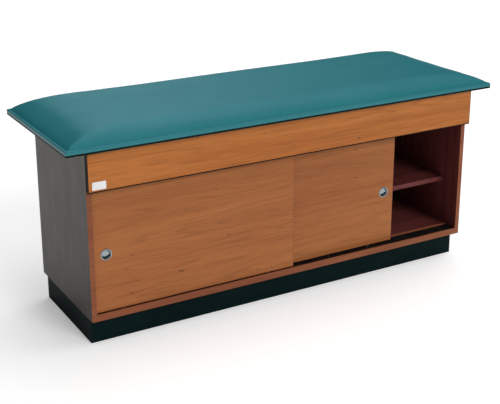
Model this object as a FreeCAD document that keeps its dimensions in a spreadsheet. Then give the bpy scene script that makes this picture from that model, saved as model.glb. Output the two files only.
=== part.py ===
import FreeCAD, Part
import math
import os
from types import SimpleNamespace

import Sketcher
from FreeCAD import Placement, Rotation, Vector

# Cabinet treatment table: a crowned, upholstered top on a closed cupboard with two bypass doors.
# Millimetres. +X runs along the table to the right, +Y to its back, +Z up, and the origin lies
# on the floor under the centre of the padded top. Left and right are those of someone in front.

SIZES = {
    # padded top
    "top_length": 1829,
    "top_width": 610,
    "top_corner_radius": 4,
    "end_overhang": 82.5,
    "front_overhang": 47,
    "back_overhang": 63,
    "deck_thickness": 18,
    "foam_edge": 3,
    "crown_height": 46,
    "crown_run_side": 88,
    "crown_run_end": 255,
    "crown_corner_growth": 0.55,
    "cover_thickness": 1.2,
    "cover_hem": 18,
    "cover_fit": 0.3,
    # carcass boards
    "cabinet_height": 636,
    "side_thickness": 19,
    "bottom_thickness": 19,
    "bottom_housing": 6,
    "sill_thickness": 6,
    "sill_height": 25,
    "floor_thickness": 12,
    "back_thickness": 6,
    "partition_thickness": 19,
    "shelf_thickness": 19,
    "shelf_rise": 180,
    "shelf_setback": 98,
    "shelf_end_gap": 1,
    "shelf_back_gap": 2,
    "rail_thickness": 19,
    "rail_height": 76,
    "header_thickness": 19,
    "header_margin": 5.5,
    "fascia_height": 145,
    "fascia_thickness": 25,
    "fascia_moulding": 4,
    "edge_band": 1,
    # plinth
    "plinth_height": 100,
    "plinth_thickness": 16,
    "plinth_front_recess": 40,
    "plinth_end_recess": 8,
    "plinth_back_recess": 20,
    "corner_block_width": 36,
    "corner_block_height": 60,
    # doors and their tracks
    "door_thickness": 19,
    "door_setback": 12,
    "door_gap": 5,
    "door_overlap": 18,
    "door_end_gap": 1,
    "door_lift": 2.5,
    "right_door_open": 312,
    "track_margin": 5.5,
    "track_end_gap": 0.5,
    "track_base": 2,
    "track_lip_width": 2,
    "track_lip_height": 2,
    "rib_width": 3,
    "rib_height": 3,
    "rib_chamfer": 0.8,
    "channel_base": 2,
    "channel_leg": 12,
    "channel_wall": 2,
    "channel_clearance": 1.5,
    "floor_gap": 0.5,
    # grooved door wheels and their housings
    "wheel_radius": 8,
    "wheel_flange": 2,
    "wheel_width": 8,
    "groove_clearance": 0.5,
    "wheel_inset": 110,
    "roll_gap": 0.3,
    "wheel_side_gap": 0.4,
    "wheel_slot_gap": 1.2,
    "axle_diameter": 4,
    "axle_fit": 0.05,
    "housing_length": 54,
    "housing_width": 12,
    "housing_height": 24,
    "mortise_fit": 0.2,
    # door guides
    "guide_length": 40,
    "guide_inset": 30,
    "guide_stem_width": 11,
    "guide_stem_depth": 12,
    "guide_head": 6,
    "guide_clearance": 0.5,
    "guide_lift": 3,
    # finger pulls
    "pull_diameter": 43,
    "pull_flange": 1.2,
    "pull_cup": 36,
    "pull_depth": 11,
    "pull_wall": 1,
    "pull_inset": 47.5,
    "pull_level": 343,
    "pull_fit": 0.2,
    # fittings
    "pin_diameter": 5,
    "pin_in_board": 8,
    "pin_out": 9,
    "pin_inset": 45,
    "dowel_diameter": 8,
    "dowel_in_side": 12,
    "dowel_in_rail": 18,
    "dowel_end_gap": 0.5,
    "hole_fit": 0.05,
    "bracket_leg": 30,
    "bracket_width": 22,
    "bracket_thickness": 2,
    "bracket_inset": 190,
}

document = FreeCAD.newDocument("treatment_table")
sheet = document.addObject("Spreadsheet::Sheet", "Sizes")
for row, (alias, number) in enumerate(SIZES.items(), start=1):
    sheet.set(f"A{row}", alias)
    sheet.set(f"B{row}", str(number))
    sheet.setAlias(f"B{row}", alias)
document.recompute()


class Size:
    """A length that keeps the spreadsheet formula it came from beside its value."""

    def __init__(self, value, formula):
        self.value = value
        self.formula = formula

    def __add__(self, other):
        other = as_size(other)
        return Size(self.value + other.value, f"({self.formula} + {other.formula})")

    def __sub__(self, other):
        other = as_size(other)
        return Size(self.value - other.value, f"({self.formula} - {other.formula})")

    def __mul__(self, factor):
        factor = as_size(factor)
        return Size(self.value * factor.value, f"({self.formula} * {factor.formula})")

    def __truediv__(self, divisor):
        return Size(self.value / divisor, f"({self.formula} / {divisor})")

    def __neg__(self):
        return Size(-self.value, f"(0 - {self.formula})")

    def __rmul__(self, factor):
        return as_size(factor) * self

    def __rsub__(self, number):
        return as_size(number) - self


def as_size(item):
    """A plain number as a Size."""
    if isinstance(item, Size):
        return item
    return Size(float(item), f"({float(item)})")


s = SimpleNamespace(**{alias: Size(float(sheet.get(alias)), f"Sizes.{alias}") for alias in SIZES})
nodes = []

TO_RIGHT = Rotation(Vector(0, 0, 1), Vector(1, 0, 0))
TO_LEFT = Rotation(Vector(0, 0, 1), Vector(-1, 0, 0))
TO_FRONT = Rotation(Vector(0, 0, 1), Vector(0, -1, 0))
TO_BACK = Rotation(Vector(0, 0, 1), Vector(0, 1, 0))
UPWARD = Rotation()
TURNED = Rotation(Vector(0, 0, 1), 180)


def node(item, label):
    """Name a finished sub-part and put it on the list of parts to write."""
    item.Label = label
    nodes.append(item)
    return item


def bind(item, **sizes):
    """Bind properties of an object to spreadsheet formulas."""
    for name, size in sizes.items():
        item.setExpression(name, as_size(size).formula)


def bind_place(item, x, y, z):
    """Bind the position of an object to spreadsheet formulas."""
    for axis, size in (("x", x), ("y", y), ("z", z)):
        item.setExpression(f"Placement.Base.{axis}", as_size(size).formula)


def box(name, x, y, z):
    """A board between two planes along each axis."""
    item = document.addObject("Part::Box", name)
    spans = [as_size(high) - as_size(low) for low, high in (x, y, z)]
    bind(item, Length=spans[0], Width=spans[1], Height=spans[2])
    bind_place(item, x[0], y[0], z[0])
    return item


def rod(name, diameter, length):
    """A cylinder that stands on the origin along +Z."""
    item = document.addObject("Part::Cylinder", name)
    bind(item, Radius=diameter / 2, Height=length)
    return item


def copies(name, master, places):
    """A group of separate copies of one piece, each at (x, y, z, direction of its +Z)."""
    group = document.addObject("Part::Compound", name)
    links = []
    for x, y, z, direction in places:
        link = document.addObject("App::Link", f"{name}_copy")
        link.LinkedObject = master
        link.LinkTransform = True
        link.Placement = Placement(Vector(), direction)
        bind_place(link, x, y, z)
        links.append(link)
    group.Links = links
    return group


def cut(name, base, *tools):
    """A piece with one or more groups of holes or recesses taken out of it."""
    for number, tool in enumerate(tools, start=1):
        result = document.addObject("Part::Cut", f"{name}_cut{number}")
        result.Base = base
        result.Tool = tool
        base = result
    return base


def new_sketch(body, role):
    """An empty sketch on one of the body's own origin planes."""
    plane = [item for item in body.Origin.OriginFeatures if item.Role == role][0]
    sketch = body.newObject("Sketcher::SketchObject", "outline")
    sketch.AttachmentSupport = [(plane, "")]
    sketch.MapMode = "FlatFace"
    return sketch


def closed_outline(sketch, points):
    """A closed outline of straight lines whose corners are bound to formulas."""
    corners = [(as_size(across), as_size(up)) for across, up in points]
    count = len(corners)
    for number, (across, up) in enumerate(corners):
        next_across, next_up = corners[(number + 1) % count]
        start = Vector(across.value, up.value, 0)
        end = Vector(next_across.value, next_up.value, 0)
        sketch.addGeometry(Part.LineSegment(start, end))
    for number, (across, up) in enumerate(corners):
        following = (number + 1) % count
        sketch.addConstraint(Sketcher.Constraint("Coincident", number, 2, following, 1))
        for kind, letter, size in (("DistanceX", "x", across), ("DistanceY", "y", up)):
            constraint = Sketcher.Constraint(kind, -1, 1, number, 1, size.value)
            index = sketch.addConstraint(constraint)
            sketch.renameConstraint(index, f"{letter}{number}")
            sketch.setExpression(f"Constraints.{letter}{number}", size.formula)


def extrusion(name, role, points, length):
    """A body padded from a straight-edged outline on one of its origin planes."""
    body = document.addObject("PartDesign::Body", name)
    sketch = new_sketch(body, role)
    closed_outline(sketch, points)
    pad = body.newObject("PartDesign::Pad", f"{name}_pad")
    pad.Profile = sketch
    bind(pad, Length=length)
    return body


def turning(name, points):
    """A body turned about +Z from an outline of (radius, height) points."""
    body = document.addObject("PartDesign::Body", name)
    sketch = new_sketch(body, "XZ_Plane")
    closed_outline(sketch, points)
    revolution = body.newObject("PartDesign::Revolution", f"{name}_turning")
    revolution.Profile = sketch
    revolution.ReferenceAxis = (sketch, ["V_Axis"])
    revolution.Angle = 360
    return body


def spread(count, low, high):
    """Evenly spaced places from low to high, both included."""
    step = (as_size(high) - as_size(low)) / (count - 1)
    return [as_size(low) + step * number for number in range(count)]


# Main planes of the cabinet. The front plane is the face of the side panels' edge bands.
side_face = s.top_length / 2 - s.end_overhang
inner_face = side_face - s.side_thickness
front = s.front_overhang - s.top_width / 2
back = s.top_width / 2 - s.back_overhang
back_inner = back - s.back_thickness
board_front = front + s.edge_band
carcass_top = s.plinth_height + s.cabinet_height
bottom_top = s.plinth_height + s.bottom_thickness
floor_top = bottom_top + s.floor_thickness
rail_bottom = carcass_top - s.rail_height
header_bottom = rail_bottom - s.header_thickness
full_width = (-inner_face, inner_face)

# Door planes: the left door runs in the outer track, the right door in the inner one.
outer_front = front + s.door_setback
outer_back = outer_front + s.door_thickness
inner_front = outer_back + s.door_gap
inner_back = inner_front + s.door_thickness
door_middles = (outer_front + s.door_thickness / 2, inner_front + s.door_thickness / 2)
track_front = outer_front - s.track_margin
track_back = inner_back + s.track_margin
rib_top = bottom_top + s.track_base + s.rib_height
wheel_axis = rib_top + s.roll_gap + s.wheel_radius
door_bottom = rib_top + s.door_lift
channel_ceiling = header_bottom - s.channel_base
channel_mouth = channel_ceiling - s.channel_leg
door_top = channel_ceiling - s.guide_lift - s.guide_head
door_width = inner_face + s.door_overlap / 2 - s.door_end_gap
header_back = track_back + s.header_margin
floor_front = track_back + s.floor_gap

# Fittings are made once each along +Z, with a drill of the same size for their holes.
dowel_length = s.dowel_in_side + s.dowel_in_rail
dowel = rod("dowel", s.dowel_diameter, dowel_length)
dowel_drill_length = dowel_length + 2 * s.dowel_end_gap
dowel_drill = rod("dowel_drill", s.dowel_diameter + 2 * s.hole_fit, dowel_drill_length)
pin = rod("pin", s.pin_diameter, s.pin_in_board + s.pin_out)
pin_drill = rod("pin_drill", s.pin_diameter + 2 * s.hole_fit, s.pin_in_board + s.dowel_end_gap)

# Dowels hold the header and both top rails between the side panels.
rail_middle = s.rail_thickness / 2
rail_level = rail_bottom + s.rail_height / 2
dowel_spots = [
    (track_back - s.track_margin - s.door_thickness, rail_bottom - s.header_thickness / 2),
    (front + rail_middle, rail_level),
    (back_inner - rail_middle, rail_level),
]
dowel_starts = (-inner_face - s.dowel_in_side, inner_face - s.dowel_in_rail)
dowel_places = [(x, y, z, TO_RIGHT) for x in dowel_starts for y, z in dowel_spots]
drill_places = [(x - s.dowel_end_gap, y, z, turn) for x, y, z, turn in dowel_places]
dowel_holes = copies("dowel_holes", dowel_drill, drill_places)
node(copies("dowels", dowel, dowel_places), "carcass_dowels")

# Shelf pins: two at each end of each shelf, under its board.
shelf_bottom = floor_top + s.shelf_rise
shelf_front = front + s.shelf_setback
shelf_back = back_inner - s.shelf_back_gap
pin_level = shelf_bottom - s.pin_diameter / 2
partition_face = s.partition_thickness / 2
pin_rows = [shelf_front + s.pin_inset, shelf_back - s.pin_inset]
pin_ends = [
    (-inner_face, TO_RIGHT, 1),
    (-partition_face, TO_LEFT, -1),
    (partition_face, TO_RIGHT, 1),
    (inner_face, TO_LEFT, -1),
]
pin_drill_depth = s.pin_in_board + s.dowel_end_gap
pin_places = []
pin_drills = []
for x, turn, way in pin_ends:
    for y in pin_rows:
        pin_places.append((x - way * s.pin_in_board, y, pin_level, turn))
        pin_drills.append((x - way * pin_drill_depth, y, pin_level, turn))
pin_holes = copies("pin_holes", pin_drill, pin_drills)
node(copies("pins", pin, pin_places), "shelf_pins")

# Angle brackets hold the deck down on the front and rear top rails.
bracket_profile = [
    (0, 0),
    (s.bracket_leg, 0),
    (s.bracket_leg, -s.bracket_thickness),
    (s.bracket_thickness, -s.bracket_thickness),
    (s.bracket_thickness, -s.bracket_leg),
    (0, -s.bracket_leg),
]
bracket = extrusion("bracket", "YZ_Plane", bracket_profile, s.bracket_width)
half_bracket = s.bracket_width / 2
bracket_places = []
for x in spread(4, s.bracket_inset - inner_face, inner_face - s.bracket_inset):
    bracket_places.append((x - half_bracket, front + s.rail_thickness, carcass_top, UPWARD))
    bracket_places.append((x + half_bracket, back_inner - s.rail_thickness, carcass_top, TURNED))
node(copies("brackets", bracket, bracket_places), "deck_brackets")

# The bottom board is housed in a groove in each side panel, behind a sill strip that stands a
# little above it and hides the gap under the doors.
bottom_width = (0 - inner_face - s.bottom_housing, inner_face + s.bottom_housing)
sill_back = front + s.sill_thickness
sill_span = (s.plinth_height, s.plinth_height + s.sill_height)
bottom = box("bottom", bottom_width, (sill_back, back_inner), (s.plinth_height, bottom_top))
node(bottom, "bottom_panel")
node(box("sill", full_width, (front, sill_back), sill_span), "sill_strip")

# Side panels stand on the plinth and carry the deck; their front edges are banded.
panel_height = (s.plinth_height, carcass_top)
for side, span in (("left", (-side_face, -inner_face)), ("right", (inner_face, side_face))):
    panel = box(f"{side}_panel", span, (board_front, back), panel_height)
    node(cut(f"{side}_panel", panel, bottom, dowel_holes, pin_holes), f"{side}_side_panel")
    node(box(f"{side}_panel_band", span, (front, board_front), panel_height), f"{side}_side_edge_band")

# A thinner floor board lies on the bottom board behind the lower track.
floor_board_front = floor_front + s.edge_band
floor_span = (bottom_top, floor_top)
node(box("floor", full_width, (floor_board_front, back_inner), floor_span), "floor_panel")
node(box("floor_band", full_width, (floor_front, floor_board_front), floor_span), "floor_edge_band")

# The back panel closes the carcass between the sides.
node(box("back_board", full_width, (back_inner, back), panel_height), "back_panel")

# Top rails: the front one backs the fascia and stands on the header, the rear one stiffens the back.
rail_span = (rail_bottom, carcass_top)
front_rail = box("front_rail", full_width, (front, front + s.rail_thickness), rail_span)
node(cut("front_rail", front_rail, dowel_holes), "front_top_rail")
rear_rail = box("rear_rail", full_width, (back_inner - s.rail_thickness, back_inner), rail_span)
node(cut("rear_rail", rear_rail, dowel_holes), "rear_top_rail")
header = box("header", full_width, (front, header_back), (header_bottom, rail_bottom))
node(cut("header", header, dowel_holes), "track_header")

# The centre partition stands on the floor board behind the header, notched for the rear rail.
partition_front = header_back + s.edge_band
notch_front = back_inner - s.rail_thickness
partition_outline = [
    (partition_front, floor_top),
    (back_inner, floor_top),
    (back_inner, rail_bottom),
    (notch_front, rail_bottom),
    (notch_front, carcass_top),
    (partition_front, carcass_top),
]
partition = extrusion("partition", "YZ_Plane", partition_outline, s.partition_thickness)
bind_place(partition, -partition_face, 0, 0)
node(cut("partition", partition, pin_holes), "centre_partition")
partition_span = (-partition_face, partition_face)
partition_edge = (header_back, partition_front)
partition_band = box("partition_band", partition_span, partition_edge, (floor_top, carcass_top))
node(partition_band, "partition_edge_band")

# Shelves rest on the pins, set well back behind the doors.
shelf_span = (shelf_bottom, shelf_bottom + s.shelf_thickness)
shelf_board_front = shelf_front + s.edge_band
shelf_ends = {
    "left": (-inner_face + s.shelf_end_gap, -partition_face - s.shelf_end_gap),
    "right": (partition_face + s.shelf_end_gap, inner_face - s.shelf_end_gap),
}
for side, span in shelf_ends.items():
    node(box(f"{side}_shelf_board", span, (shelf_board_front, shelf_back), shelf_span), f"{side}_shelf")
    shelf_band = box(f"{side}_shelf_band", span, (shelf_front, shelf_board_front), shelf_span)
    node(shelf_band, f"{side}_shelf_edge_band")

# The fascia stands proud of the side panels and hides the upper track and the door tops. A black
# moulding runs along its lower edge and thin black bands close its ends.
fascia_front = front - s.fascia_thickness
fascia_bottom = carcass_top - s.fascia_height
fascia_depth = (fascia_front, front)
fascia_core = (s.edge_band - side_face, side_face - s.edge_band)
moulding_top = fascia_bottom + s.fascia_moulding
node(box("fascia_board", fascia_core, fascia_depth, (moulding_top, carcass_top)), "fascia")
fascia_strip = box("fascia_strip", fascia_core, fascia_depth, (fascia_bottom, moulding_top))
node(fascia_strip, "fascia_bottom_band")
fascia_ends = {"left": (-side_face, s.edge_band - side_face), "right": (side_face - s.edge_band, side_face)}
for side, span in fascia_ends.items():
    end_band = box(f"{side}_fascia_end", span, fascia_depth, (fascia_bottom, carcass_top))
    node(end_band, f"{side}_fascia_end_band")

# The black plinth is a frame of four boards with a brace and glued corner blocks.
plinth_end = side_face - s.plinth_end_recess
plinth_front = front + s.plinth_front_recess
plinth_back = back - s.plinth_back_recess
plinth_inside = (plinth_front + s.plinth_thickness, plinth_back - s.plinth_thickness)
plinth_span = (as_size(0), s.plinth_height)
plinth_ends = (-plinth_end, plinth_end)
node(box("plinth_front_board", plinth_ends, (plinth_front, plinth_inside[0]), plinth_span), "plinth_front")
node(box("plinth_back_board", plinth_ends, (plinth_inside[1], plinth_back), plinth_span), "plinth_back")
plinth_cross = {
    "plinth_left_end": (-plinth_end, s.plinth_thickness - plinth_end),
    "plinth_brace": (0 - s.plinth_thickness / 2, s.plinth_thickness / 2),
    "plinth_right_end": (plinth_end - s.plinth_thickness, plinth_end),
}
for label, span in plinth_cross.items():
    node(box(f"{label}_board", span, plinth_inside, plinth_span), label)
block_origin = (as_size(0), s.corner_block_width)
block_height = (as_size(0), s.corner_block_height)
corner_block = box("corner_block", block_origin, block_origin, block_height)
block_far_x = plinth_end - s.plinth_thickness - s.corner_block_width
block_columns = (s.plinth_thickness - plinth_end, block_far_x)
block_rows = (plinth_inside[0], plinth_inside[1] - s.corner_block_width)
block_bottom = s.plinth_height - s.corner_block_height
block_places = [(x, y, block_bottom, UPWARD) for x in block_columns for y in block_rows]
node(copies("corner_blocks", corner_block, block_places), "plinth_corner_blocks")

# The lower track is one extrusion with a rib under each door and a low lip along both edges.
rib_foot = bottom_top + s.track_base
rib_shoulder = rib_top - s.rib_chamfer
rib_half = s.rib_width / 2
rib_crest = rib_half - s.rib_chamfer
lip_top = rib_foot + s.track_lip_height


def rib_points(middle):
    """A track rib with broken upper corners, from back to front."""
    return [
        (middle + rib_half, rib_foot),
        (middle + rib_half, rib_shoulder),
        (middle + rib_crest, rib_top),
        (middle - rib_crest, rib_top),
        (middle - rib_half, rib_shoulder),
        (middle - rib_half, rib_foot),
    ]


lower_outline = [
    (track_front, bottom_top),
    (track_back, bottom_top),
    (track_back, lip_top),
    (track_back - s.track_lip_width, lip_top),
    (track_back - s.track_lip_width, rib_foot),
    *rib_points(door_middles[1]),
    *rib_points(door_middles[0]),
    (track_front + s.track_lip_width, rib_foot),
    (track_front + s.track_lip_width, lip_top),
    (track_front, lip_top),
]
track_length = 2 * inner_face - 2 * s.track_end_gap
lower_track = extrusion("lower_extrusion", "YZ_Plane", lower_outline, track_length)
bind_place(lower_track, s.track_end_gap - inner_face, 0, 0)
node(lower_track, "lower_track")

# The upper track is a double channel whose legs hold the door guides.
leg_faces = [
    (inner_back + s.channel_clearance, inner_back + s.channel_clearance + s.channel_wall),
    (outer_back + s.channel_clearance, inner_front - s.channel_clearance),
    (outer_front - s.channel_clearance - s.channel_wall, outer_front - s.channel_clearance),
]
upper_outline = [(leg_faces[2][0], header_bottom), (leg_faces[0][1], header_bottom)]
for number, (leg_front, leg_back) in enumerate(leg_faces):
    if number > 0:
        upper_outline.append((leg_back, channel_ceiling))
    upper_outline.append((leg_back, channel_mouth))
    upper_outline.append((leg_front, channel_mouth))
    if number < len(leg_faces) - 1:
        upper_outline.append((leg_front, channel_ceiling))
upper_track = extrusion("upper_extrusion", "YZ_Plane", upper_outline, track_length)
bind_place(upper_track, s.track_end_gap - inner_face, 0, 0)
node(upper_track, "upper_track")

# Door fittings, each made once about the point where it is carried.
flange_radius = s.wheel_radius + s.wheel_flange
housing_floor = door_bottom - wheel_axis
housing_half = s.housing_length / 2
housing_side = s.housing_width / 2
housing_blank = box(
    "housing_blank",
    (-housing_half, housing_half),
    (-housing_side, housing_side),
    (housing_floor, housing_floor + s.housing_height),
)
slot_half = flange_radius + s.wheel_slot_gap
slot_side = s.wheel_width / 2 + s.wheel_side_gap
wheel_slot = box("wheel_slot", (-slot_half, slot_half), (-slot_side, slot_side), (-slot_half, slot_half))
axle_hole = rod("axle_hole", s.axle_diameter + 2 * s.axle_fit, s.housing_width)
axle_line = [(0, -housing_side, 0, TO_BACK)]
housing = cut("housing", housing_blank, wheel_slot, copies("axle_bore", axle_hole, axle_line))
axle = rod("axle", s.axle_diameter, s.housing_width)
mortise_half = housing_half + s.mortise_fit
mortise_side = housing_side + s.mortise_fit
mortise_floor = housing_floor - s.door_lift
mortise_roof = housing_floor + s.housing_height + s.mortise_fit
mortise = box(
    "mortise",
    (-mortise_half, mortise_half),
    (-mortise_side, mortise_side),
    (mortise_floor, mortise_roof),
)
guide_half = s.guide_length / 2
head_half = s.door_thickness / 2 + s.channel_clearance - s.guide_clearance
stem_half = s.guide_stem_width / 2
guide_span = (-guide_half, guide_half)
guide_head = box("guide_head", guide_span, (-head_half, head_half), (as_size(0), s.guide_head))
guide_stem_span = (-s.guide_stem_depth, as_size(0))
guide_stem = box("guide_stem", guide_span, (-stem_half, stem_half), guide_stem_span)
guide = document.addObject("Part::Fuse", "guide")
guide.Base = guide_head
guide.Tool = guide_stem
guide.Refine = True
recess_half = guide_half + s.mortise_fit
recess_side = stem_half + s.mortise_fit
recess_depth = s.guide_stem_depth + s.mortise_fit
guide_recess = box(
    "guide_recess",
    (-recess_half, recess_half),
    (-recess_side, recess_side),
    (-recess_depth, s.guide_lift),
)
bore_depth = s.pull_depth + s.pull_fit
pull_bore = rod("pull_bore", s.pull_cup + 2 * s.pull_fit, bore_depth + s.pull_fit)


def finger_pull(name):
    """A round cup with a thin flange, open along +Z."""
    cup_radius = s.pull_cup / 2
    return turning(
        name,
        [
            (0, -s.pull_depth),
            (cup_radius, -s.pull_depth),
            (cup_radius, 0),
            (s.pull_diameter / 2, 0),
            (s.pull_diameter / 2, s.pull_flange),
            (cup_radius - s.pull_wall, s.pull_flange),
            (cup_radius - s.pull_wall, s.pull_wall - s.pull_depth),
            (0, s.pull_wall - s.pull_depth),
        ],
    )


def wheel(label, x, y):
    """A grooved door wheel on its axle, standing on the track rib."""
    half = s.wheel_width / 2
    groove_half = s.rib_width / 2 + s.groove_clearance
    bore = s.axle_diameter / 2 + s.axle_fit
    body = turning(
        f"{label}_turned",
        [
            (bore, -half),
            (flange_radius, -half),
            (flange_radius, -groove_half),
            (s.wheel_radius, -groove_half),
            (s.wheel_radius, groove_half),
            (flange_radius, groove_half),
            (flange_radius, half),
            (bore, half),
        ],
    )
    body.Placement = Placement(Vector(), TO_BACK)
    bind_place(body, x, y, wheel_axis)
    node(body, label)


def door(side, left_edge, face, pull_offset):
    """A sliding door with its edge band, finger pull, guides, roller housings and wheels."""
    right_edge = left_edge + door_width
    middle = face + s.door_thickness / 2
    thickness = (face, face + s.door_thickness)
    core_x = (left_edge + s.edge_band, right_edge - s.edge_band)
    core_z = (door_bottom + s.edge_band, door_top - s.edge_band)
    wheel_x = (left_edge + s.wheel_inset, right_edge - s.wheel_inset)
    guide_inset = s.guide_inset + guide_half
    guide_x = (left_edge + guide_inset, right_edge - guide_inset)
    wheel_places = [(x, middle, wheel_axis, UPWARD) for x in wheel_x]
    guide_places = [(x, middle, door_top, UPWARD) for x in guide_x]
    mortises = copies(f"{side}_mortises", mortise, wheel_places)
    recesses = copies(f"{side}_recesses", guide_recess, guide_places)
    pull_x = left_edge + pull_offset
    bore_places = [(pull_x, face + bore_depth, s.pull_level, TO_FRONT)]
    bore = copies(f"{side}_pull_hole", pull_bore, bore_places)
    core = box(f"{side}_door_core", core_x, thickness, core_z)
    node(cut(f"{side}_door_core", core, mortises, recesses, bore), f"{side}_door")
    outer = box(f"{side}_band_outer", (left_edge, right_edge), thickness, (door_bottom, door_top))
    inner = box(f"{side}_band_inner", core_x, thickness, core_z)
    node(cut(f"{side}_band", outer, inner, mortises, recesses), f"{side}_door_edge_band")
    pull = finger_pull(f"{side}_pull_turned")
    pull.Placement = Placement(Vector(), TO_FRONT)
    bind_place(pull, pull_x, face, s.pull_level)
    node(pull, f"{side}_door_pull")
    node(copies(f"{side}_guides", guide, guide_places), f"{side}_door_guides")
    node(copies(f"{side}_housings", housing, wheel_places), f"{side}_door_roller_housings")
    axle_places = [(x, middle - housing_side, wheel_axis, TO_BACK) for x in wheel_x]
    node(copies(f"{side}_axles", axle, axle_places), f"{side}_door_axles")
    for end, x in zip(("left", "right"), wheel_x):
        wheel(f"{side}_door_{end}_wheel", x, middle)


right_door_edge = inner_face - s.door_end_gap - s.right_door_open - door_width
door("left", s.door_end_gap - inner_face, outer_front, s.pull_inset)
door("right", right_door_edge, inner_front, door_width - s.pull_inset)

# The padded top: each layer is a straight rim below a crown that a loft draws in to a flat field.
CROWN_STEPS = 6


def rounded_rectangle(length, width, radius, level):
    """A closed wire of four lines and four quarter arcs, centred on the origin."""
    x = length / 2
    y = width / 2
    edges = []
    corners = [(x, y, 0), (-x, y, 90), (-x, -y, 180), (x, -y, 270)]
    ends = []
    for corner_x, corner_y, start in corners:
        centre_x = corner_x - math.copysign(radius, corner_x)
        centre_y = corner_y - math.copysign(radius, corner_y)
        centre = Vector(centre_x, centre_y, level)
        points = []
        for turn in (0, 45, 90):
            angle = math.radians(start + turn)
            points.append(centre + Vector(radius * math.cos(angle), radius * math.sin(angle), 0))
        ends.append(points)
    for number, points in enumerate(ends):
        edges.append(Part.Arc(*points).toShape())
        following = ends[(number + 1) % len(ends)][0]
        edges.append(Part.LineSegment(points[2], following).toShape())
    return Part.Wire(edges)


def padded_form(inset, foot, rim_top, height):
    """A rim with a crown on it, drawn in evenly by inset from the finished outside."""
    length = s.top_length.value - 2 * inset
    width = s.top_width.value - 2 * inset
    radius = s.top_corner_radius.value - inset
    rim_wire = rounded_rectangle(length, width, radius, foot)
    rim = Part.Face(rim_wire).extrude(Vector(0, 0, rim_top - foot))
    sections = []
    for step in range(CROWN_STEPS + 1):
        angle = math.radians(90 * step / CROWN_STEPS)
        drawn_in = 1 - math.cos(angle)
        end_in = (s.crown_run_end.value - inset) * drawn_in
        side_in = (s.crown_run_side.value - inset) * drawn_in
        corner = radius + s.crown_corner_growth.value * side_in
        level = rim_top + height * math.sin(angle)
        sections.append(rounded_rectangle(length - 2 * end_in, width - 2 * side_in, corner, level))
    crown = Part.makeLoft(sections, True, True)
    return rim.fuse(crown).removeSplitter()


def formed(label, shape):
    """A finished solid that needs code of its own, placed at the origin."""
    item = document.addObject("Part::Feature", f"{label}_form")
    item.Shape = shape
    item.Placement = Placement()
    node(item, label)


deck_bottom = carcass_top.value
deck_top = deck_bottom + s.deck_thickness.value
rim_top = deck_top + s.foam_edge.value
cover = s.cover_thickness.value
lining = cover + s.cover_fit.value
crown = s.crown_height.value

deck_wire = rounded_rectangle(
    s.top_length.value - 2 * lining,
    s.top_width.value - 2 * lining,
    s.top_corner_radius.value - lining,
    deck_bottom,
)
formed("deck_board", Part.Face(deck_wire).extrude(Vector(0, 0, s.deck_thickness.value)))
formed("foam_pad", padded_form(lining, deck_top, rim_top, crown - lining))

cover_outside = padded_form(0, deck_bottom - cover, rim_top, crown)
cover_inside = padded_form(cover, deck_bottom, rim_top, crown - cover)
hem = s.cover_hem.value
opening_length = s.top_length.value - 2 * hem
opening_width = s.top_width.value - 2 * hem
opening_radius = s.top_corner_radius.value
opening_wire = rounded_rectangle(opening_length, opening_width, opening_radius, deck_bottom - 2 * cover)
opening = Part.Face(opening_wire).extrude(Vector(0, 0, 3 * cover))
formed("vinyl_cover", cover_outside.cut(cover_inside).cut(opening))

document.recompute()
for item in document.Objects:
    if "Invalid" in item.State or "Error" in item.State:
        raise RuntimeError(f"{item.Label} did not compute: {item.State}")
os.makedirs("parts", exist_ok=True)
for item in nodes:
    if item.Shape.isNull() or not item.Shape.isValid() or not item.Shape.Solids:
        raise RuntimeError(f"{item.Label} has no valid solid")
for item in nodes:
    item.Shape.exportStep(f"parts/{item.Label}.step")
print(f"{len(nodes)} sub-parts written")
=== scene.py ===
import math

import bmesh
import bpy
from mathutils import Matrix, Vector


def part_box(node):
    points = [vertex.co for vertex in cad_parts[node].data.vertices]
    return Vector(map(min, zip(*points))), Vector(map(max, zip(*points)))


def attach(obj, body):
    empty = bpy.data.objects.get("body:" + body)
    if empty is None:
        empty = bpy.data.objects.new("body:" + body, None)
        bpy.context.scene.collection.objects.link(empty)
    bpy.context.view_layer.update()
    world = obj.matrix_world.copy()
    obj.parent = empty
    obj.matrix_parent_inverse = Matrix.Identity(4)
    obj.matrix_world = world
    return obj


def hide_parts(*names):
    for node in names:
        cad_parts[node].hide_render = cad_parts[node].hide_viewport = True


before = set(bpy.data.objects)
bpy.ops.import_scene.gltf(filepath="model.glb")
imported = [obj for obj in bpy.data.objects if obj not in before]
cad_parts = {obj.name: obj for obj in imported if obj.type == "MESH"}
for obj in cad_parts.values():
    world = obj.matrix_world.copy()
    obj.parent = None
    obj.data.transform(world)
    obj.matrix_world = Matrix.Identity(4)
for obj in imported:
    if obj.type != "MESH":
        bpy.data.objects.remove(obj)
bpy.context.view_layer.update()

# The plinth: four boards faced with black laminate, with a brace and raw corner blocks inside.
# It is set back under the cabinet and stands straight on the floor, so its face shows faint scuffs.


def new_material(name):
    """An empty procedural material with its shader and Object coordinates."""
    material = bpy.data.materials.new(name)
    material.use_nodes = True
    tree = material.node_tree
    shader = tree.nodes["Principled BSDF"]
    place = tree.nodes.new("ShaderNodeTexCoord").outputs["Object"]
    return material, tree, shader, place


def stretched(tree, place, scale):
    """Coordinates stretched by a scale along each axis."""
    mapping = tree.nodes.new("ShaderNodeMapping")
    mapping.inputs["Scale"].default_value = scale
    tree.links.new(place, mapping.inputs["Vector"])
    return mapping.outputs["Vector"]


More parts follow.
